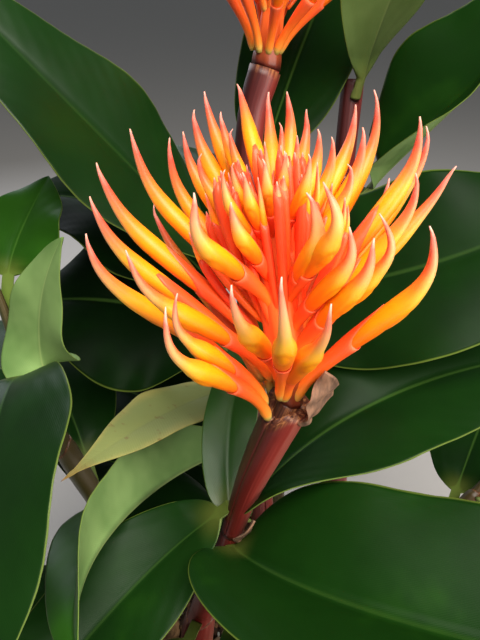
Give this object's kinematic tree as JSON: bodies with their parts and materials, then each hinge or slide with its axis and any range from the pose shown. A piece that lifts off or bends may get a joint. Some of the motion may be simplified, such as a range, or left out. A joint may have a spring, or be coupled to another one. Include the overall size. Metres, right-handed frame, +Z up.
{
  "type": "potted golden brush ginger",
  "caption": "Leafy ginger clump in a plain terracotta pot, with upright brushes of claw-shaped orange and yellow flower buds.",
  "frame": {"origin": "centre of the pot's flat foot, on the surface it stands on", "axes": "+Z up; -Y is the front, the side that the picture is taken from; +X to the right from there"},
  "size_m": [0.4118, 0.4056, 0.5383],
  "materials": {
    "terracotta": "matte unglazed clay",
    "potting_mix": "crumbly bark and peat",
    "rhizome": "dry papery skin",
    "stalk": "semi-gloss dark red sheaths",
    "leaf": "glossy above, satin below",
    "old_leaf": "satin, yellow at the edge",
    "dry_bract": "papery",
    "flower_buds": "waxy"
  },
  "bodies": {
    "root": {"pot": "terracotta", "soil": "potting_mix", "rhizome": "rhizome", "stalk_main": "stalk", "stalk_second": "stalk", "stalk_third": "stalk", "stalk_left": "stalk", "stalk_right": "stalk", "stalk_back": "stalk", "leaf_front_right": "leaf", "leaf_right": "leaf", "leaf_front_left": "leaf", "leaf_left_curled": "leaf", "leaf_behind_stalk": "leaf", "leaf_upper_left": "leaf", "leaf_upper_right": "leaf", "leaf_old": "old_leaf", "leaf_back_right": "leaf", "leaf_mid_left": "leaf", "leaf_low_left": "leaf", "leaf_left_deep": "leaf", "leaf_left_shade": "leaf", "leaf_low_deep": "leaf", "leaf_top": "leaf", "leaf_top_right": "leaf", "leaf_third_back": "leaf", "leaf_left_rising": "leaf", "leaf_left_hanging": "leaf", "leaf_left_edge": "leaf", "leaf_left_low": "leaf", "leaf_left_back": "leaf", "leaf_left_front": "leaf", "leaf_right_front": "leaf", "leaf_right_side": "leaf", "leaf_right_back": "leaf", "leaf_right_low": "leaf", "leaf_back_left": "leaf", "leaf_back": "leaf", "leaf_back_side": "leaf", "leaf_back_low": "leaf", "leaf_main_low": "leaf", "leaf_main_low_right": "leaf", "bract_head": "dry_bract", "bract_joint": "dry_bract", "brush_main": "flower_buds", "brush_second": "flower_buds"}
  },
  "joints": []
}
